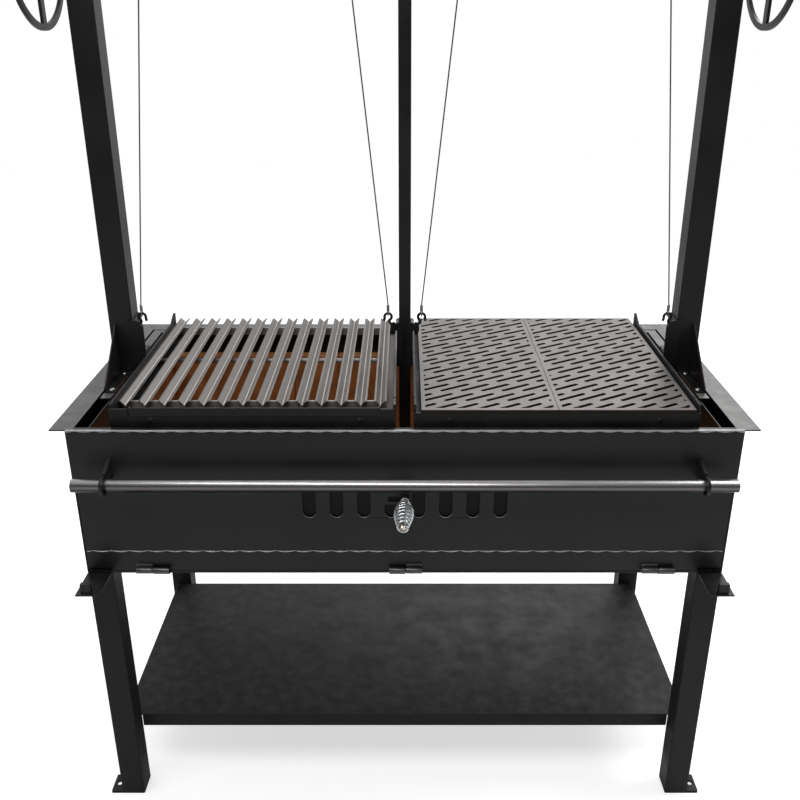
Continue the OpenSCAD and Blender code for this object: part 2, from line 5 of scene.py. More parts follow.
import bpy
import numpy as np
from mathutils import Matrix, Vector


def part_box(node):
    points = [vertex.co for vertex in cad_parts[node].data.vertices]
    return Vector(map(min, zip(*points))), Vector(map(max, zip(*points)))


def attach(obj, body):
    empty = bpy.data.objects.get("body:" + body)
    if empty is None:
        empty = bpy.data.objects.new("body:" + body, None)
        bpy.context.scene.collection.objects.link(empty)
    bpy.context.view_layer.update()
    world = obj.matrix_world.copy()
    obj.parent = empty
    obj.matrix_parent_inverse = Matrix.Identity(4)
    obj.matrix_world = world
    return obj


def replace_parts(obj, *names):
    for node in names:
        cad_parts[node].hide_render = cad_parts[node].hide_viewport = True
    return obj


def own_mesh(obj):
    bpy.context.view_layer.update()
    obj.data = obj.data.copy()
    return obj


bl_info = {
    "name": "Winched charcoal grill",
    "version": (1, 0, 0),
    "blender": (4, 5, 0),
    "location": "3D View > Sidebar > Grill",
    "description": "Dresses a charcoal grill: stitched bends, a spring grip, lift cables and finishes",
    "category": "Add Mesh",
}

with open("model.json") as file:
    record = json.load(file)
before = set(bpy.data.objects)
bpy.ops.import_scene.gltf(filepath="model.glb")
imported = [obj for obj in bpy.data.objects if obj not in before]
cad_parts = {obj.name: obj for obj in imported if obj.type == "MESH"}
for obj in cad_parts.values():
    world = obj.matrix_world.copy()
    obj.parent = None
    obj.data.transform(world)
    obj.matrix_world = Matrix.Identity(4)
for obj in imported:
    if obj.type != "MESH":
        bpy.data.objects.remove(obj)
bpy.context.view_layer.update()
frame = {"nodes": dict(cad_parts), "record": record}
NODES = frame["nodes"]
APRON_LOW, APRON_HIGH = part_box("front_apron")
DOOR_LOW, DOOR_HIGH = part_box("door_panel")
HANDLE_LOW, HANDLE_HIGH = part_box("spring_handle")
NUT_LOW, NUT_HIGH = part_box("handle_nut")
POST_LOW, POST_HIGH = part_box("centre_post")
MM = 0.001
ALONG_X = (1.0, 0.0, 0.0)
ALONG_Y = (0.0, 1.0, 0.0)


# ---------------------------------------------------------------- sizes and colours
def length_setting(name, description, default):
    """A length that the panel shows."""
    return bpy.props.FloatProperty(name=name, description=description, default=default, unit="LENGTH")


def colour_setting(name, description, default):
    """A colour that the panel shows."""
    return bpy.props.FloatVectorProperty(
        name=name, description=description, subtype="COLOR", size=3, default=default)


class GrillSizes(bpy.types.PropertyGroup):
    """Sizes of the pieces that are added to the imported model."""
    bend_period: length_setting("Stitch period", "Length of one cut along a stitched bend", 36.5 * MM)
    bend_wave: length_setting("Stitch depth", "How far a stitched bend waves", 2.4 * MM)
    fold_height: length_setting("Fold height", "Door fold above the door's lower edge", 46 * MM)
    vent_pitch: length_setting("Vent pitch", "Distance between two air slots", 53.2 * MM)
    vent_width: length_setting("Vent width", "Width of an air slot", 25.4 * MM)
    vent_height: length_setting("Vent height", "Air slots above the door's lower edge", 123 * MM)
    coil_turns: bpy.props.IntProperty(
        name="Coil turns", description="Turns of wire in the spring grip", default=10)
    coil_wire: length_setting("Coil wire", "Radius of the spring grip's wire", 2.5 * MM)
    coil_waist: length_setting("Coil waist", "Radius of the coil at the door", 7.5 * MM)
    coil_tip: length_setting("Coil tip", "Radius of the coil at the nut", 9.5 * MM)
    coil_lean: length_setting("Coil lean", "How far the coil's tip sags to the left", 3.5 * MM)
    coil_belly: length_setting("Coil belly", "Radius of the coil where it is widest", 17 * MM)
    cable_radius: length_setting("Cable radius", "Radius of a lift cable", 1.5 * MM)
    strand_lay: length_setting("Strand lay", "Length in which a strand goes once round", 22 * MM)


class GrillColours(bpy.types.PropertyGroup):
    """Base colours of the finishes."""
    paint: colour_setting("Paint", "Black paint", (0.0105, 0.0108, 0.0118))
    steel: colour_setting("Cooking steel", "Bare, oiled steel", (0.27, 0.25, 0.238))
    brick: colour_setting("Firebrick", "Fired clay", (0.8, 0.33, 0.11))
    bar: colour_setting("Bar steel", "Front bar and hinges", (0.5, 0.48, 0.48))


# ---------------------------------------------------------------- mesh helpers
STRAND_GROOVE = 0.14


def grid_mesh(name, points, tubular=False):
    """Object from a (rows, columns, 3) array: each four neighbouring points make one face.
    A tubular one joins its last column to its first, and has a face over each end."""
    rows, cols = points.shape[:2]
    index = np.arange(rows * cols).reshape(rows, cols)
    caps = []
    if tubular:
        caps = [index[0][::-1].tolist(), index[-1].tolist()]
        index = np.hstack([index, index[:, :1]])
    quads = np.stack([index[:-1, :-1], index[1:, :-1], index[1:, 1:], index[:-1, 1:]], -1).reshape(-1, 4)
    mesh = bpy.data.meshes.new(name)
    mesh.from_pydata(points.reshape(-1, 3).tolist(), [], quads.tolist() + caps)
    mesh.polygons.foreach_set("use_smooth", np.ones(len(mesh.polygons), bool))
    mesh.update()
    piece = bpy.data.objects.new(name, mesh)
    bpy.context.scene.collection.objects.link(piece)
    return piece


def unit(vectors):
    """Each vector divided by its length."""
    return vectors / np.linalg.norm(vectors, axis=-1, keepdims=True)


def tube(name, path, hint, radius, sides, lobes=0, lay=1.0):
    """Closed tube: a circle round each point of the path, square to the path there.
    The hint is a direction that the path never takes, one for all points or one for each.
    With lobes, the circle swells to that many strands, which go once round in each lay."""
    along = unit(np.gradient(path, axis=0))
    across = unit(np.cross(along, hint))
    up = np.cross(across, along)
    angle = np.linspace(0, 2 * np.pi, sides, endpoint=False)
    size = np.broadcast_to(np.asarray(radius, float), (len(path),))[:, None] * np.ones((1, sides))
    if lobes:
        steps = np.linalg.norm(np.diff(path, axis=0), axis=1)
        run = np.concatenate([[0.0], np.cumsum(steps)])[:, None]
        strand = np.abs(np.cos(lobes / 2 * (angle[None, :] - 2 * np.pi * run / lay)))
        size = size * (1 - STRAND_GROOVE + STRAND_GROOVE * strand)
    level = np.cos(angle)[None, :, None] * across[:, None, :]
    ring = level + np.sin(angle)[None, :, None] * up[:, None, :]
    return grid_mesh(name, path[:, None, :] + size[..., None] * ring, tubular=True)


def lathe(name, axis_point, profile, sides):
    """Surface of revolution round a line along -Y: profile is (distance along -Y, radius)."""
    profile = np.asarray(profile, float)
    angle = np.linspace(0, 2 * np.pi, sides, endpoint=False)
    x = axis_point[0] + profile[:, 1, None] * np.cos(angle)
    y = axis_point[1] - profile[:, 0, None] + 0 * x
    z = axis_point[2] + profile[:, 1, None] * np.sin(angle)
    return grid_mesh(name, np.stack([x, y, z], -1), tubular=True)


def join(name, pieces):
    """Several mesh objects made one."""
    bpy.ops.object.select_all(action="DESELECT")
    for piece in pieces:
        piece.select_set(True)
    bpy.context.view_layer.objects.active = pieces[0]
    bpy.ops.object.join()
    pieces[0].name = name
    return pieces[0]


# ---------------------------------------------------------------- node helpers
def new_group(name, inputs, outputs):
    """A shader node group with float inputs (name, default) and outputs (name, socket type)."""
    group = bpy.data.node_groups.new(name, "ShaderNodeTree")
    for label, default in inputs:
        socket = group.interface.new_socket(label, in_out="INPUT", socket_type="NodeSocketFloat")
        socket.default_value = default
    for label, kind in outputs:
        group.interface.new_socket(label, in_out="OUTPUT", socket_type=kind)
    return group, group.nodes.new("NodeGroupInput"), group.nodes.new("NodeGroupOutput")


def math_node(tree, operation, a, b):
    """A Math node whose operands are sockets or numbers."""
    node = tree.nodes.new("ShaderNodeMath")
    node.operation = operation
    for slot, value in enumerate((a, b)):
        if isinstance(value, bpy.types.NodeSocket):
            tree.links.new(value, node.inputs[slot])
        else:
            node.inputs[slot].default_value = value
    return node.outputs[0]


def noise_node(tree, vector, scale, detail, roughness=0.55):
    """A Noise texture on the given coordinates."""
    node = tree.nodes.new("ShaderNodeTexNoise")
    node.inputs["Detail"].default_value = detail
    node.inputs["Roughness"].default_value = roughness
    tree.links.new(vector, node.inputs["Vector"])
    if isinstance(scale, bpy.types.NodeSocket):
        tree.links.new(scale, node.inputs["Scale"])
    else:
        node.inputs["Scale"].default_value = scale
    return node.outputs["Fac"]


def ramp(tree, value, low, high, to_low=0.0, to_high=1.0):
    """Map Range from low..high to to_low..to_high, clamped."""
    node = tree.nodes.new("ShaderNodeMapRange")
    limits = {"From Min": low, "From Max": high, "To Min": to_low, "To Max": to_high}
    for label, number in limits.items():
        if isinstance(number, bpy.types.NodeSocket):
            tree.links.new(number, node.inputs[label])
        else:
            node.inputs[label].default_value = number
    tree.links.new(value, node.inputs["Value"])
    return node.outputs[0]


def make_grain_group():
    """Fine lines along one axis, from noise on coordinates stretched by the three inputs."""
    group, source, sink = new_group(
        "mill_grain", [("Stretch X", 1.0), ("Stretch Y", 1.0), ("Stretch Z", 1.0), ("Scale", 900.0)],
        [("Height", "NodeSocketFloat"), ("Cloud", "NodeSocketFloat")])
    place = group.nodes.new("ShaderNodeTexCoord")
    split = group.nodes.new("ShaderNodeSeparateXYZ")
    build = group.nodes.new("ShaderNodeCombineXYZ")
    group.links.new(place.outputs["Object"], split.inputs[0])
    for axis in range(3):
        stretched = math_node(group, "MULTIPLY", split.outputs[axis], source.outputs[axis])
        group.links.new(stretched, build.inputs[axis])
    lines = noise_node(group, build.outputs[0], source.outputs["Scale"], 3.0, 0.6)
    cloud = noise_node(group, place.outputs["Object"], 14.0, 5.0, 0.6)
    group.links.new(lines, sink.inputs["Height"])
    group.links.new(cloud, sink.inputs["Cloud"])
    return group


def normal_parts(group):
    """Sockets with the X, Y and Z of a face's normal."""
    facing = group.nodes.new("ShaderNodeNewGeometry")
    split = group.nodes.new("ShaderNodeSeparateXYZ")
    group.links.new(facing.outputs["Normal"], split.inputs[0])
    return split.outputs


def make_facing_group():
    """Shade by the way a face looks. Up goes from 0 where the normal's Z is at Low to 1 where it is at High.
    Right goes from 0 to 1 as the normal turns to the right."""
    group, source, sink = new_group(
        "facing_shade", [("Low", 0.1), ("High", 0.6)],
        [("Up", "NodeSocketFloat"), ("Right", "NodeSocketFloat")])
    normal = normal_parts(group)
    up = ramp(group, normal[2], source.outputs["Low"], source.outputs["High"])
    group.links.new(up, sink.inputs["Up"])
    group.links.new(ramp(group, normal[0], 0.2, 0.6), sink.inputs["Right"])
    return group


def make_wear_group():
    """Handling marks: broad smudges with fine specks, and ash that settles on faces that look up."""
    group, source, sink = new_group(
        "handling_wear", [("Smudge Scale", 9.0), ("Speck Scale", 420.0), ("Ash", 0.3)],
        [("Smudge", "NodeSocketFloat"), ("Speck", "NodeSocketFloat"), ("Ash", "NodeSocketFloat")])
    place = group.nodes.new("ShaderNodeTexCoord").outputs["Object"]
    smudge = ramp(group, noise_node(group, place, source.outputs["Smudge Scale"], 6.0), 0.35, 0.68)
    speck = ramp(group, noise_node(group, place, source.outputs["Speck Scale"], 2.0), 0.62, 0.7)
    upward = ramp(group, normal_parts(group)[2], 0.5, 0.95)
    drift = ramp(group, noise_node(group, place, 38.0, 6.0), 0.4, 0.75)
    share = math_node(group, "MULTIPLY", upward, drift)
    settled = math_node(group, "MULTIPLY", share, source.outputs["Ash"])
    group.links.new(smudge, sink.inputs["Smudge"])
    group.links.new(speck, sink.inputs["Speck"])
    group.links.new(settled, sink.inputs["Ash"])
    return group


def place_group(tree, group, **values):
    """A group node with the given input values."""
    node = tree.nodes.new("ShaderNodeGroup")
    node.node_tree = group
    for label, value in values.items():
        node.inputs[label.replace("_", " ")].default_value = value
    return node.outputs


def mix_colour(tree, share, first, second):
    """Mix of two colours by a socket."""
    node = tree.nodes.new("ShaderNodeMix")
    node.data_type = "RGBA"
    tree.links.new(share, node.inputs["Factor"])
    for label, value in (("A", first), ("B", second)):
        socket = [s for s in node.inputs if s.name == label and s.type == "RGBA"][0]
        if isinstance(value, bpy.types.NodeSocket):
            tree.links.new(value, socket)
        else:
            socket.default_value = (*value, 1.0)
    return [s for s in node.outputs if s.type == "RGBA"][0]


def start_material(name, metallic=0.0, specular=0.5):
    """A node material and its Principled shader."""
    material = bpy.data.materials.new(name)
    material.use_nodes = True
    shader = material.node_tree.nodes["Principled BSDF"]
    shader.inputs["Metallic"].default_value = metallic
    shader.inputs["Specular IOR Level"].default_value = specular
    return material, material.node_tree, shader


def add_bump(tree, shader, height, strength, distance=0.0004):
    """Bump from a height socket into the shader's normal."""
    node = tree.nodes.new("ShaderNodeBump")
    node.inputs["Strength"].default_value = strength
    node.inputs["Distance"].default_value = distance
    tree.links.new(height, node.inputs["Height"])
    tree.links.new(node.outputs[0], shader.inputs["Normal"])


def dim(colour, factor):
    """The colour times a factor."""
    return tuple(channel * factor for channel in colour)


def settle_ash(tree, shader, wear, under, ash):
    """Sets the base colour: the colour under it, with ash where it settles."""
    tree.links.new(mix_colour(tree, wear["Ash"], under, ash), shader.inputs["Base Color"])


def vary_roughness(tree, shader, height, low, high, smooth, rough):
    """Roughness from smooth to rough as a socket goes from low to high."""
    tree.links.new(ramp(tree, height, low, high, smooth, rough), shader.inputs["Roughness"])


# ---------------------------------------------------------------- materials
# Painted highlight along the troughs of the cooking bars: the troughs' height, the band's soft edge and how
# much brighter it is.
VALLEY_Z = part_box("v_bars")[0].z + 3.7 * MM
VALLEY_EDGE = (1.6 * MM, 0.4 * MM)
VALLEY_HIGHLIGHT = 2.2
LINE_DARKNESS = 0.75


def black_paint(colours, groups):
    """Semi-gloss powder coat: fine orange peel, faint smudges and a little ash on top faces."""
    material, tree, shader = start_material("black_powder_coat", specular=0.32)
    wear = place_group(tree, groups["wear"], Smudge_Scale=5.0, Speck_Scale=260.0, Ash=0.10)
    peel = place_group(tree, groups["grain"], Scale=1500.0)
    base = mix_colour(tree, wear["Smudge"], tuple(colours.paint), dim(colours.paint, 1.7))
    settle_ash(tree, shader, wear, base, (0.16, 0.155, 0.15))
    vary_roughness(tree, shader, wear["Smudge"], 0.0, 1.0, 0.30, 0.40)
    add_bump(tree, shader, peel["Height"], 0.12, 0.0003)
    return material


def rough_paint(colours, groups, shade=1.0):
    """Heat-dulled paint. A shade below 1 makes it darker."""
    material, tree, shader = start_material("dull_black_paint", specular=0.28 * shade)
    wear = place_group(tree, groups["wear"], Smudge_Scale=16.0, Speck_Scale=520.0, Ash=0.22)
    peel = place_group(tree, groups["grain"], Scale=1100.0)
    dark, pale = dim(colours.paint, 0.7 * shade), dim(colours.paint, 1.5 * shade)
    settle_ash(tree, shader, wear, mix_colour(tree, wear["Smudge"], dark, pale), (0.13, 0.12, 0.11))
    vary_roughness(tree, shader, wear["Smudge"], 0.0, 1.0, 0.42, 0.6)
    add_bump(tree, shader, peel["Height"], 0.25, 0.0003)
    return material


def grained_steel(name, colour, groups, stretch, rough, tint=0.8, ash=0.0, bump=0.25, metallic=0.85,
                  shade_colour=None, turn=(0.1, 0.6), facet_shade=0.0):
    """Bare steel with lines along one axis, clouds of oil tint and uneven gloss.
    With a shade colour, faces turned away from above take that colour instead of the given one, a painted
    step from light to shade: turn says from which Z of the normal.
    With a facet shade factor, faces that look to the right take the colour times that factor as painted
    shade, and the troughs of the bars get a painted highlight."""
    material, tree, shader = start_material(name, metallic=metallic)
    grain = place_group(tree, groups["grain"], Stretch_X=stretch[0], Stretch_Y=stretch[1],
                        Stretch_Z=stretch[2], Scale=700.0)
    wear = place_group(tree, groups["wear"], Smudge_Scale=11.0, Speck_Scale=600.0, Ash=ash)
    cloud = ramp(tree, grain["Cloud"], 0.36, 0.66)
    base = mix_colour(tree, cloud, dim(colour, tint), colour)
    lines = ramp(tree, grain["Height"], 0.3, 0.7)
    lined = mix_colour(tree, lines, dim(colour, tint * LINE_DARKNESS), base)
    ash_and_painted_light = mix_colour(tree, wear["Ash"], lined, (0.34, 0.33, 0.32))
    if facet_shade:
        # Painted shade on the facets that look right, then a painted highlight along the troughs.
        facing = place_group(tree, groups["facing"])
        ash_and_painted_light = mix_colour(tree, facing["Right"], ash_and_painted_light, dim(colour, facet_shade))
        place = tree.nodes.new("ShaderNodeTexCoord")
        split = tree.nodes.new("ShaderNodeSeparateXYZ")
        tree.links.new(place.outputs["Object"], split.inputs[0])
        trough_highlight = ramp(tree, split.outputs[2], VALLEY_Z + VALLEY_EDGE[0], VALLEY_Z + VALLEY_EDGE[1])
        ash_and_painted_light = mix_colour(tree, trough_highlight, ash_and_painted_light, dim(colour, VALLEY_HIGHLIGHT))
    # Painted light and shade: faces turned away from above take the shade colour.
    if shade_colour:
        facing = place_group(tree, groups["facing"], Low=turn[0], High=turn[1])
        ash_and_painted_light = mix_colour(tree, facing["Up"], shade_colour, ash_and_painted_light)
    tree.links.new(ash_and_painted_light, shader.inputs["Base Color"])
    vary_roughness(tree, shader, grain["Height"], 0.3, 0.75, *rough)
    add_bump(tree, shader, grain["Height"], bump, 0.0002)
    return material


def firebrick(colours, groups):
    """Fired clay: two tones in clouds, dark iron specks, ash on top and open pores."""
    material, tree, shader = start_material("firebrick", specular=0.25)
    wear = place_group(tree, groups["wear"], Smudge_Scale=17.0, Speck_Scale=240.0, Ash=0.3)
    tone = mix_colour(tree, wear["Smudge"], dim(colours.brick, 0.62), tuple(colours.brick))
    iron = math_node(tree, "MULTIPLY", wear["Speck"], 0.6)
    specked = mix_colour(tree, iron, tone, (0.05, 0.03, 0.02))
    settle_ash(tree, shader, wear, specked, (0.30, 0.26, 0.22))
    shader.inputs["Roughness"].default_value = 0.92
    pores = place_group(tree, groups["grain"], Scale=420.0)
    add_bump(tree, shader, pores["Height"], 0.6, 0.0012)
    return material


def bright_metal(name, colour, groups, rough):
    """Plated metal with a slightly uneven shine."""
    material, tree, shader = start_material(name, metallic=1.0)
    wear = place_group(tree, groups["wear"], Smudge_Scale=60.0, Speck_Scale=800.0, Ash=0.0)
    handled = mix_colour(tree, wear["Smudge"], colour, dim(colour, 0.86))
    tree.links.new(handled, shader.inputs["Base Color"])
    vary_roughness(tree, shader, wear["Smudge"], 0.0, 1.0, rough, rough + 0.14)
    return material


def grip_wood(groups):
    """Oiled hardwood with its grain along the grip."""
    material, tree, shader = start_material("oiled_hardwood", specular=0.4)
    grain = place_group(tree, groups["grain"], Stretch_X=0.06, Stretch_Y=1.0, Stretch_Z=1.0, Scale=260.0)
    shade = ramp(tree, grain["Height"], 0.3, 0.7)
    wood = mix_colour(tree, shade, (0.09, 0.035, 0.014), (0.26, 0.12, 0.05))
    tree.links.new(wood, shader.inputs["Base Color"])
    vary_roughness(tree, shader, grain["Height"], 0.3, 0.7, 0.32, 0.5)
    add_bump(tree, shader, grain["Height"], 0.3, 0.0003)
    return material


MADE = {}


def finishes():
    """All materials, made once and kept by name."""
    if not MADE:
        colours = bpy.context.scene.grill_colours
        groups = {
            "grain": make_grain_group(),
            "wear": make_wear_group(),
            "facing": make_facing_group(),
        }
        steel, bar = tuple(colours.steel), tuple(colours.bar)
        MADE.update({
            "black_paint": black_paint(colours, groups),
            "rough_paint": rough_paint(colours, groups),
            # Rim: black paint whose faces that look up are coloured light grey as a painted reflection of
            # the bright surroundings; the other faces keep the paint's colour.
            "rim_paint": grained_steel(
                "rim_paint", (0.16, 0.155, 0.15), groups, (1.0, 1.0, 1.0), (0.30, 0.42), ash=0.3,
                metallic=0.35, shade_colour=tuple(colours.paint)),
            "well_steel": grained_steel(
                "well_steel", (0.055, 0.054, 0.053), groups, (0.3, 1.0, 1.0), (0.45, 0.6)),
            "firebrick": firebrick(colours, groups),
            "bearing_bronze": grained_steel(
                "bearing_bronze", (0.45, 0.30, 0.13), groups, (1.0, 0.2, 1.0), (0.3, 0.45)),
            # Front bar: painted shade on the faces that turn down.
            "bar_steel": grained_steel(
                "bar_steel", bar, groups, (0.02, 1.0, 1.0), (0.31, 0.33), tint=1.2, bump=0.0,
                metallic=1.0, shade_colour=(0.03, 0.022, 0.019), turn=(-0.35, 0.55)),
            # Cooking bars: painted shade on the facets that look right and a painted highlight in the
            # troughs.
            "bar_cooking": grained_steel(
                "cooking_bars", steel, groups, (1.0, 0.03, 1.0), (0.34, 0.5), tint=0.78, ash=0.12,
                metallic=0.7, facet_shade=0.66),
            # Cooking plates: painted shade on their edges and undersides.
            "plate_cooking": grained_steel(
                "cooking_plates", dim(steel, 0.8), groups, (0.8, 0.5, 1.0), (0.4, 0.58), tint=0.74,
                ash=0.12, bump=0.35, metallic=0.6, shade_colour=(0.02, 0.014, 0.011)),
            # Tray: painted shade on the faces turned away from above.
            "tray_steel": grained_steel(
                "tray_steel", (0.15, 0.135, 0.128), groups, (0.05, 1.0, 1.0), (0.34, 0.48),
                shade_colour=(0.03, 0.03, 0.03)),
            "support_steel": grained_steel(
                "support_steel", (0.52, 0.5, 0.48), groups, (0.05, 1.0, 1.0), (0.4, 0.5), metallic=0.5),
            "bright_zinc": bright_metal("bright_zinc", (0.55, 0.55, 0.54), groups, 0.24),
            "cable_wire": bright_metal("cable_wire", (0.22, 0.21, 0.21), groups, 0.32),
            "chrome": bright_metal("bright_chrome", (0.86, 0.88, 0.9), groups, 0.16),
            "nut": bright_metal("nut_steel", (0.92, 0.82, 0.7), groups, 0.24),
            # Bright metal of the stitched bends and slot lips: painted highlights on the black paint.
            "bend_highlight_metal": bright_metal("bend_highlight_metal", (0.46, 0.46, 0.47), groups, 0.38),
            "hinge_steel": bright_metal("hinge_steel", (0.17, 0.16, 0.16), groups, 0.34),
            # Painted shade: darker paint for the damper plate and door jambs, which sit in shade behind the
            # air slots.
            "recess_shade_black": rough_paint(colours, groups, 0.6),
            "grip_wood": grip_wood(groups),
        })
    return MADE


def dress(piece, finish, body):
    """Gives a new piece its material and the body it rides on."""
    piece.data.materials.clear()
    piece.data.materials.append(finishes()[finish])
    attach(piece, body)
    return piece


# ---------------------------------------------------------------- operators
class GRILL_OT_frame_finish(bpy.types.Operator):
    """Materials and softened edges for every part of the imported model"""
    bl_idname = "grill.frame_finish"
    bl_label = "Frame finishes"

    OWN_FINISH = {
        "v_bars": "bar_cooking", "v_supports": "support_steel",
        "inner_slotted_plate": "plate_cooking", "outer_slotted_plate": "plate_cooking",
        "inner_rim": "rim_paint", "left_jacket": "rim_paint", "right_jacket": "rim_paint",
        "rear_jacket": "rim_paint", "legs": "rough_paint", "lower_shelf": "rough_paint",
        "left_outer_rail": "rough_paint", "left_inner_rail": "tray_steel",
        "right_outer_rail": "rough_paint", "right_inner_rail": "rough_paint",
        "left_cross_bars": "rough_paint", "right_cross_bars": "rough_paint",
        "handle_nut": "nut", "hinge_fixed_halves": "hinge_steel", "hinge_moving_halves": "hinge_steel",
        "damper_plate": "recess_shade_black", "door_jambs": "recess_shade_black",
    }
    EDGE_MM = {
        "left_bricks": 1.6, "right_bricks": 1.6, "back_bricks": 1.6, "floor_bricks": 1.6,
        "inner_slotted_plate": 0.6, "outer_slotted_plate": 0.6, "left_post": 2.5, "right_post": 2.5,
        "centre_post": 1.6, "legs": 2.5, "top_tie_bar": 1.6, "v_bars": 0.35, "door_panel": 1.0,
        "hinge_moving_halves": 1.4, "hinge_fixed_halves": 1.2, "shaft_bearings": 1.0,
    }
    USUAL_EDGE_MM = 0.5
    WELD_GAP = 0.00002
    EDGE_DEGREES = 50

    def execute(self, context):
        slots = {row["node"]: row["material_slot"] for row in frame["record"]["subparts"]}
        for name, node in NODES.items():
            finish = self.OWN_FINISH.get(name, slots[name])
            node.data.materials.clear()
            node.data.materials.append(finishes()[finish])
            weld = node.modifiers.new("weld", "WELD")
            weld.merge_threshold = self.WELD_GAP
            bevel = node.modifiers.new("edge", "BEVEL")
            bevel.width = self.EDGE_MM.get(name, self.USUAL_EDGE_MM) * MM
            bevel.segments = 2
            bevel.limit_method = "ANGLE"
            bevel.angle_limit = math.radians(self.EDGE_DEGREES)
            bevel.harden_normals = True
        return {"FINISHED"}


class GRILL_OT_stitched_bends(bpy.types.Operator):
    """Waving strips along the apron's top edge and the door's fold, and arcs under the air slots, all in a
    bright metal that paints their highlights
    """
    bl_idname = "grill.stitched_bends"
    bl_label = "Stitched bends"

    POINTS = 701
    END_GAP = 1 * MM
    # Hem: places on the flat top behind the front edge, then the roll, then the edge that hangs down
    HEM_FLAT_MM = (4, 3.4, 2.4)
    HEM_ROLL = 1.6 * MM
    HEM_ROLL_POINTS = 5
    HEM_REACH = 1.4 * MM
    HEM_TUCK = 0.3 * MM
    HEM_TOP = 0.9 * MM
    HEM_SIDE = -0.7 * MM
    HEM_DROP = 0.2 * MM
    HEM_EDGE = 0.4 * MM
    FOLD_POINTS = 9
    FOLD_WIDTH_MM = (0.5, 0.9)
    FOLD_HEIGHT = 0.8 * MM
    FOLD_SINK = 0.05 * MM
    VENTS = 8
    LIP_DEGREES = (196, 344)
    LIP_WIDTH_MM = (0.15, 0.55)
    LIP_POINTS = 40
    LIP_SIDES = 8

    def execute(self, context):
        self.hem(context.scene.grill_sizes)
        self.fold(context.scene.grill_sizes)
        self.lips(context.scene.grill_sizes)
        return {"FINISHED"}

    def scallop(self, x, sizes):
        """Rows of shallow smiles: the size of a sine of half the frequency."""
        return np.abs(np.sin(np.pi * x / sizes.bend_period))

    def across_front(self, low, high):
        """A column of X from one end of a panel to the other."""
        return np.linspace(low.x + self.END_GAP, high.x - self.END_GAP, self.POINTS)[:, None]

    def hem(self, sizes):
        """A lip that rolls over the apron's front edge, as low as the scallops say. Its bright metal paints
        the highlight along the bend.
        """
        x = self.across_front(APRON_LOW, APRON_HIGH)
        turn = np.linspace(0, np.pi / 2, self.HEM_ROLL_POINTS)[None, :]
        front = APRON_LOW.y
        side = APRON_HIGH.z + self.HEM_SIDE
        rows = (self.POINTS, 1)
        roll_y = front + self.HEM_ROLL - (self.HEM_ROLL + self.HEM_REACH) * np.sin(turn)
        y = np.hstack([np.tile(front + np.array([self.HEM_FLAT_MM]) * MM, rows),
                       np.tile(roll_y, rows),
                       np.full(rows, front - self.HEM_REACH),
                       np.full(rows, front + self.HEM_TUCK)])
        drop = self.HEM_DROP + sizes.bend_wave * self.scallop(x, sizes)
        z = np.hstack([np.full((self.POINTS, len(self.HEM_FLAT_MM)), APRON_HIGH.z + self.HEM_TOP),
                       np.tile(side + self.HEM_ROLL * np.cos(turn), rows),
                       side - drop,
                       side - self.HEM_EDGE - drop])
        points = np.stack([np.broadcast_to(x, y.shape), y, z], -1)
        hem = grid_mesh("apron_stitched_hem", points[:, ::-1])
        dress(hem, "bend_highlight_metal", "root")

    def fold(self, sizes):
        """A thin raised seam across the door, with its centre line waving. Its bright metal paints the
        fold's highlight.
        """
        x = self.across_front(DOOR_LOW, DOOR_HIGH)
        across = np.linspace(-1, 1, self.FOLD_POINTS)[None, :]
        wave = self.scallop(x, sizes)
        middle = DOOR_LOW.z + sizes.fold_height - sizes.bend_wave * (wave - 0.5)
        narrow, swell = self.FOLD_WIDTH_MM
        z = middle + across * (narrow + swell * wave) * MM
        y = DOOR_LOW.y + self.FOLD_SINK - self.FOLD_HEIGHT * np.sqrt(1 - across ** 2) + 0 * x
        fold = grid_mesh("door_stitched_fold", np.stack([np.broadcast_to(x, y.shape), y, z], -1))
        dress(fold, "bend_highlight_metal", "door")

    def lips(self, sizes):
        """Painted highlight arcs along the lower lips of the air slots."""
        lips = []
        half = sizes.vent_width / 2
        angle = np.radians(np.linspace(*self.LIP_DEGREES, self.LIP_POINTS))
        thin, swell = self.LIP_WIDTH_MM
        girth = (thin + swell * np.sin(np.linspace(0, np.pi, self.LIP_POINTS))) * MM
        for place in range(self.VENTS):
            x = (place - (self.VENTS - 1) / 2) * sizes.vent_pitch + half * np.cos(angle)
            z = DOOR_LOW.z + sizes.vent_height + half * (1 + np.sin(angle))
            path = np.stack([x, DOOR_LOW.y + 0 * angle, z], -1)
            lips.append(tube("lip", path, ALONG_Y, girth, self.LIP_SIDES))
        dress(join("vent_lip_highlights", lips), "bend_highlight_metal", "door")


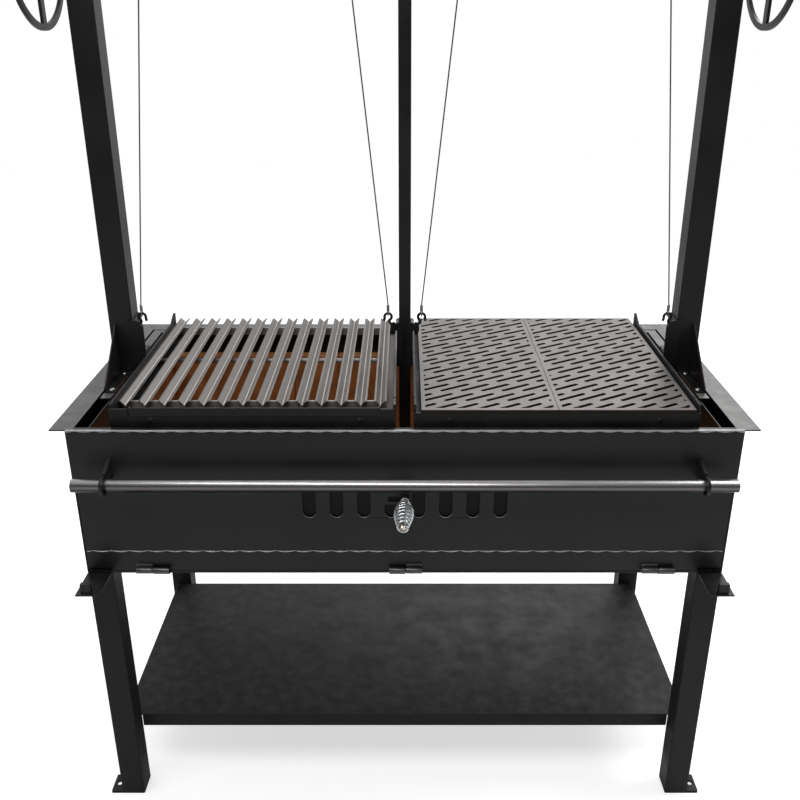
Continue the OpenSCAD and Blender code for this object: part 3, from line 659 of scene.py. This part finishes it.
class GRILL_OT_spring_grip(bpy.types.Operator):
    """Chrome coil on its stem, with a collar and a hexagonal nut"""
    bl_idname = "grill.spring_grip"
    bl_label = "Spring grip"

    TURN_STEPS = 36
    WIRE_SIDES = 12
    STEM_SIDES = 32
    NUT_SIDES = 60
    DOOR_GAP = 11 * MM
    NUT_OVERLAP = 3 * MM
    SWELL_SHIFT = 0.95
    SWELL_SHARPNESS = 1.5
    STEM_MM = ((0, 0.1), (0, 4), (8, 4), (8, 8.5), (9, 9.2), (12, 9.2), (13, 8.5), (14, 3))
    STEM_ROD = 3 * MM
    STEM_END = 0.1 * MM
    NUT_RADIUS = 6.4 * MM
    HEXAGON_SHARE = 0.55
    # Share of the nut's depth, share of its radius
    NUT_RINGS = ((0.02, 0.55), (0.02, 0.9), (0.06, 0.98), (0.5, 0.98), (0.56, 0.9), (0.62, 0.72),
                 (0.8, 0.62), (0.92, 0.42), (0.99, 0.05))

    def execute(self, context):
        sizes = context.scene.grill_sizes
        self.axis_x = (HANDLE_LOW.x + HANDLE_HIGH.x) / 2
        self.axis_z = (HANDLE_LOW.z + HANDLE_HIGH.z) / 2
        self.start = DOOR_LOW.y - self.DOOR_GAP
        self.end = NUT_HIGH.y - self.NUT_OVERLAP
        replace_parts(self.coil(sizes), "spring_handle")
        self.stem(sizes)
        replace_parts(self.nut(sizes), "handle_nut")
        return {"FINISHED"}

    def coil(self, sizes):
        """Wire that grows from its waist to its tip, and swells between them as a sine."""
        t = np.linspace(0, 1, sizes.coil_turns * self.TURN_STEPS + 1)
        ends = sizes.coil_waist + (sizes.coil_tip - sizes.coil_waist) * t
        swell = np.sin(np.pi * t ** self.SWELL_SHIFT) ** self.SWELL_SHARPNESS
        radius = ends + (sizes.coil_belly - ends) * swell
        angle = 2 * np.pi * sizes.coil_turns * t
        x = self.axis_x - sizes.coil_lean * t + radius * np.cos(angle)
        y = self.start + (self.end - self.start) * t
        path = np.stack([x, y, self.axis_z + radius * np.sin(angle)], -1)
        outward = np.stack([np.cos(angle), 0 * angle, np.sin(angle)], -1)
        coil = tube("spring_grip", path, outward, sizes.coil_wire, self.WIRE_SIDES)
        return dress(coil, "chrome", "damper")

    def stem(self, sizes):
        """Rod with a collar at the door. It sags with the coil."""
        length = HANDLE_HIGH.y - HANDLE_LOW.y
        profile = [(run * MM, radius * MM) for run, radius in self.STEM_MM]
        profile += [(length, self.STEM_ROD), (length, self.STEM_END)]
        stem = lathe("grip_stem", (self.axis_x, HANDLE_HIGH.y, self.axis_z), profile, self.STEM_SIDES)
        verts = np.array([corner.co for corner in stem.data.vertices])
        share = (self.start - verts[:, 1]) / (self.start - self.end)
        verts[:, 0] -= sizes.coil_lean * np.clip(share, 0, 1)
        stem.data.vertices.foreach_set("co", verts.ravel())
        dress(stem, "hinge_steel", "damper")

    def nut(self, sizes):
        """Acorn nut: six flats that run into a dome."""
        angle = np.linspace(0, 2 * np.pi, self.NUT_SIDES, endpoint=False)
        flats = np.cos(np.pi / 6) / np.cos((angle % (np.pi / 3)) - np.pi / 6)
        depth, radius = np.array(self.NUT_RINGS).T[:, :, None]
        wide = self.NUT_RADIUS * radius * np.where(depth < self.HEXAGON_SHARE, flats[None, :], 1.0)
        y = NUT_HIGH.y - (NUT_HIGH.y - NUT_LOW.y) * depth + 0 * wide
        x = self.axis_x - sizes.coil_lean + wide * np.cos(angle)
        points = np.stack([x, y, self.axis_z + wide * np.sin(angle)], -1)
        nut = grid_mesh("grip_nut", points, tubular=True)
        return dress(nut, "nut", "damper")


class GRILL_OT_lift_cables(bpy.types.Operator):
    """Stranded cables with their crimped eyes and hooks, and the turns on the drums"""
    bl_idname = "grill.lift_cables"
    bl_label = "Lift cables"

    CABLE_POINTS = 460
    CABLE_SIDES = 12
    STRANDS = 6
    DRUM_OVERHANG = 17 * MM
    DRUM_TURNS = 3
    TURN_STEPS = 48
    TURN_SIDES = 8
    TURN_START = 0.02
    TURN_PITCH = 2.4
    TOP_GAP = 0.4 * MM
    EYE_DROP = 20 * MM
    EYE_SIZE = (3.6 * MM, 5.6 * MM)
    EYE_WIRE = 1.2 * MM
    EYE_POINTS = 40
    EYE_SIDES = 8
    SLEEVE_DROP = 17 * MM
    SLEEVE_LENGTH = 16.6 * MM
    SLEEVE_RADIUS_MM = 3.6
    SLEEVE_POINTS = 49
    SLEEVE_SIDES = 20
    CRIMPS = 3
    CRIMP_DEPTH_MM = 0.7
    HOOK_DROP = 27 * MM
    HOOK_RING = 7.6 * MM
    HOOK_FOOT = 5.6 * MM
    HOOK_WIRE = 2.9 * MM
    HOOK_SIDES = 12
    # Degrees where the ring begins, where it passes into the foot, and where the foot ends
    HOOK_DEGREES = (-15, 230, -150)
    HOOK_POINTS = (9, 50, 44)
    # The tail's free end and its other end, in radii of the ring
    HOOK_TAIL = (-1.2, -0.36)

    def execute(self, context):
        sizes = context.scene.grill_sizes
        for side, sign in (("left", -1), ("right", 1)):
            self.lift(side, sign, sizes)
        return {"FINISHED"}

    def lift(self, side, sign, sizes):
        """Both cables of one grate, with all that is on them."""
        low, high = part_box(side + "_cables")
        drum_low, drum_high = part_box(side + "_drums")
        drum_edges = sorted([abs(drum_low.x), abs(drum_high.x)])
        drums = (drum_edges[0] + self.DRUM_OVERHANG, drum_edges[1] - self.DRUM_OVERHANG)
        hook_edges = sorted([abs(low.x), abs(high.x)])
        hooks = (hook_edges[0] + sizes.cable_radius, hook_edges[1] - sizes.cable_radius)
        y = (low.y + high.y) / 2
        shaft = ((drum_low.y + drum_high.y) / 2, (drum_low.z + drum_high.z) / 2)
        low_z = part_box(side + "_hooks")[1].z
        cables, turns, fittings, wires = [], [], [], []
        for hook_x, drum_x in zip(hooks, drums):
            away = sign * (1 if drum_x > hook_x else -1)
            end = np.array([sign * hook_x, y, low_z])
            cables.append(self.strand(end, (sign * drum_x, y, shaft[1] - self.TOP_GAP), sizes))
            turns.append(self.coil(sign * drum_x, shaft, y, away, sizes))
            fittings += [self.eye(end), self.sleeve(end)]
            wires.append(self.hook(end, away))
        cable = join(side + "_lift_cables", cables)
        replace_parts(dress(cable, "cable_wire", "root"), side + "_cables")
        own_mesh(cable)
        dress(join(side + "_drum_turns", turns), "cable_wire", side + "_winch")
        dress(join(side + "_cable_eyes", fittings), "bright_zinc", side + "_lift")
        hook_pair = join(side + "_s_hooks", wires)
        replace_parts(dress(hook_pair, "rough_paint", side + "_lift"), side + "_hooks")

    def strand(self, end, top, sizes):
        """Straight rope from the sleeve to the drum."""
        t = np.linspace(0, 1, self.CABLE_POINTS)[:, None]
        path = end + (np.array(top) - end) * t
        return tube("strand", path, ALONG_Y, sizes.cable_radius, self.CABLE_SIDES,
                    lobes=self.STRANDS, lay=sizes.strand_lay)

    def coil(self, x, shaft, y, away, sizes):
        """Turns on a drum, from just above the cable's end, on the side away from its lean."""
        core = shaft[0] - y
        whole = 2 * np.pi * self.DRUM_TURNS
        angle = np.linspace(self.TURN_START, whole, self.TURN_STEPS * self.DRUM_TURNS + 1)
        path = np.stack([x + away * (angle / (2 * np.pi)) * self.TURN_PITCH * sizes.cable_radius,
                         shaft[0] - core * np.cos(angle), shaft[1] + core * np.sin(angle)], -1)
        outward = np.stack([0 * angle, -np.cos(angle), np.sin(angle)], -1)
        return tube("turn", path, outward, sizes.cable_radius, self.TURN_SIDES)

    def eye(self, end):
        """The cable's end bent into a loop that goes round the hook, across it."""
        angle = np.linspace(0, 2 * np.pi, self.EYE_POINTS)
        wide, tall = self.EYE_SIZE
        path = end + np.stack([0 * angle, wide * np.sin(angle), -self.EYE_DROP - tall * np.cos(angle)], -1)
        return tube("eye", path, ALONG_X, self.EYE_WIRE, self.EYE_SIDES)

    def sleeve(self, end):
        """Sleeve that holds the eye closed, pinched by its crimps and rounded at its ends."""
        t = np.linspace(0, 1, self.SLEEVE_POINTS)
        path = end + np.stack([0 * t, 0 * t, self.SLEEVE_LENGTH * t - self.SLEEVE_DROP], -1)
        pinched = self.SLEEVE_RADIUS_MM - self.CRIMP_DEPTH_MM * np.sin(self.CRIMPS * np.pi * t) ** 2
        rounded = np.clip(6 * np.sqrt(t * (1 - t)), 0.2, 1)
        return tube("sleeve", path, ALONG_Y, pinched * rounded * MM, self.SLEEVE_SIDES)

    def hook(self, end, away):
        """A tail that hangs free, an open ring, and a smaller ring the other way round on the shoe."""
        ring, foot = self.HOOK_RING, self.HOOK_FOOT
        first, passing, last = self.HOOK_DEGREES
        tail_points, ring_points, foot_points = self.HOOK_POINTS
        tail = np.linspace(*self.HOOK_TAIL, tail_points) * ring
        tail_x = 0.98 * ring + 0.3 * (tail / ring + 0.3) ** 2 * ring
        upper = np.radians(np.linspace(first, passing, ring_points))
        lower = np.radians(np.linspace(passing - 180, last, foot_points))
        foot_x = (ring + foot) * math.cos(math.radians(passing)) + foot * np.cos(lower)
        foot_z = (ring + foot) * math.sin(math.radians(passing)) + foot * np.sin(lower)
        x = np.concatenate([tail_x, ring * np.cos(upper), foot_x[1:]])
        z = np.concatenate([tail, ring * np.sin(upper), foot_z[1:]])
        path = end + np.stack([away * x, 0 * x, z - self.HOOK_DROP], -1)
        return tube("hook", path, ALONG_Y, self.HOOK_WIRE, self.HOOK_SIDES)


class GRILL_OT_stage(bpy.types.Operator):
    """Pale floor, soft studio light and the camera"""
    bl_idname = "grill.stage"
    bl_label = "Stage"

    FLOOR_HALF = 9
    FLOOR_GAP = 0.5 * MM
    FLOOR_GLOW = 0.62
    AIM = (0, 0, 0.85)
    # Name, place, size, power
    LAMPS = (("key", (-0.7, -1.6, 3.3), (3.2, 0.5), 40),
             ("fill", (2.6, 0.3, 2.6), (1.2, 1.2), 30),
             ("rim", (0.9, 2.6, 3.2), (2.2, 2.2), 48))
    CAMERA_DISTANCE = 1.875
    CAMERA_HEIGHT = 1.62
    CAMERA_TILT = 67.17
    CAMERA_LENS = 40.73
    CAMERA_SHIFT = -0.006

    def execute(self, context):
        self.floor()
        self.world(context.scene)
        self.lamps(context.scene)
        self.camera(context.scene)
        context.scene.view_settings.view_transform = "Standard"
        return {"FINISHED"}

    def floor(self):
        """Floor that stays pale to the camera."""
        span = np.linspace(-self.FLOOR_HALF, self.FLOOR_HALF, 3)
        x, y = np.meshgrid(span, span, indexing="ij")
        floor = grid_mesh("floor", np.stack([x, y, 0 * x - self.FLOOR_GAP], -1))
        material, tree, shader = start_material("pale_floor", specular=0.2)
        shader.inputs["Base Color"].default_value = (0.86, 0.86, 0.86, 1)
        shader.inputs["Roughness"].default_value = 0.7
        shader.inputs["Emission Color"].default_value = (1, 1, 1, 1)
        seen = tree.nodes.new("ShaderNodeLightPath").outputs["Is Camera Ray"]
        glow = math_node(tree, "MULTIPLY", seen, self.FLOOR_GLOW)
        tree.links.new(glow, shader.inputs["Emission Strength"])
        floor.data.materials.append(material)

    def world(self, scene):
        """Bright behind and above the grill, dimmer on the cook's side, and white to the camera."""
        world = bpy.data.worlds.new("studio")
        scene.world = world
        world.use_nodes = True
        tree = world.node_tree
        nodes, links = tree.nodes, tree.links
        shade = nodes["Background"]
        white = nodes.new("ShaderNodeBackground")
        white.inputs["Color"].default_value = (1, 1, 1, 1)
        white.inputs["Strength"].default_value = 1.0
        place = nodes.new("ShaderNodeTexCoord")
        split = nodes.new("ShaderNodeSeparateXYZ")
        links.new(place.outputs["Generated"], split.inputs[0])
        back = ramp(tree, split.outputs[1], -0.5, 0.6, 0.035, 0.62)
        up = ramp(tree, split.outputs[2], 0.0, 0.9, 0.0, 0.16)
        links.new(math_node(tree, "ADD", back, up), shade.inputs["Strength"])
        shade.inputs["Color"].default_value = (0.98, 0.99, 1.0, 1)
        seen = nodes.new("ShaderNodeLightPath")
        mix = nodes.new("ShaderNodeMixShader")
        links.new(seen.outputs["Is Camera Ray"], mix.inputs[0])
        links.new(shade.outputs[0], mix.inputs[1])
        links.new(white.outputs[0], mix.inputs[2])
        links.new(mix.outputs[0], nodes["World Output"].inputs["Surface"])

    def lamps(self, scene):
        """Three soft boxes that face the grill."""
        for name, place, size, power in self.LAMPS:
            light = bpy.data.lights.new(name, "AREA")
            light.shape = "RECTANGLE"
            light.size, light.size_y = size
            light.energy = power
            lamp = bpy.data.objects.new(name, light)
            lamp.location = place
            towards = Vector(self.AIM) - Vector(place)
            lamp.rotation_euler = towards.to_track_quat("-Z", "Y").to_euler()
            scene.collection.objects.link(lamp)

    def camera(self, scene):
        """A cook's view, from in front of the centre post."""
        lens = bpy.data.cameras.new("camera")
        lens.lens = self.CAMERA_LENS
        lens.shift_x = self.CAMERA_SHIFT
        camera = bpy.data.objects.new("camera", lens)
        post_y = (POST_LOW.y + POST_HIGH.y) / 2
        camera.location = (0, post_y - self.CAMERA_DISTANCE, self.CAMERA_HEIGHT)
        camera.rotation_euler = (math.radians(self.CAMERA_TILT), 0, 0)
        scene.collection.objects.link(camera)
        scene.camera = camera


class GRILL_PT_panel(bpy.types.Panel):
    """Buttons for each group of pieces"""
    bl_label = "Charcoal grill"
    bl_space_type = "VIEW_3D"
    bl_region_type = "UI"
    bl_category = "Grill"

    def draw(self, context):
        for operator in OPERATORS:
            self.layout.operator(operator.bl_idname)
        for owner in (context.scene.grill_sizes, context.scene.grill_colours):
            for name in owner.__annotations__:
                self.layout.prop(owner, name)


OPERATORS = (GRILL_OT_stage, GRILL_OT_frame_finish, GRILL_OT_stitched_bends, GRILL_OT_spring_grip,
             GRILL_OT_lift_cables)
CLASSES = (GrillSizes, GrillColours, *OPERATORS, GRILL_PT_panel)


def register():
    """Registers the classes and puts the settings on the scene."""
    for item in CLASSES:
        bpy.utils.register_class(item)
    bpy.types.Scene.grill_sizes = bpy.props.PointerProperty(type=GrillSizes)
    bpy.types.Scene.grill_colours = bpy.props.PointerProperty(type=GrillColours)


def unregister():
    """Takes everything back."""
    del bpy.types.Scene.grill_sizes
    del bpy.types.Scene.grill_colours
    for item in reversed(CLASSES):
        bpy.utils.unregister_class(item)


def main():
    """Makes every piece in order."""
    register()
    for operator in OPERATORS:
        family, name = operator.bl_idname.split(".")
        getattr(getattr(bpy.ops, family), name)()


if __name__ == "__main__":
    main()
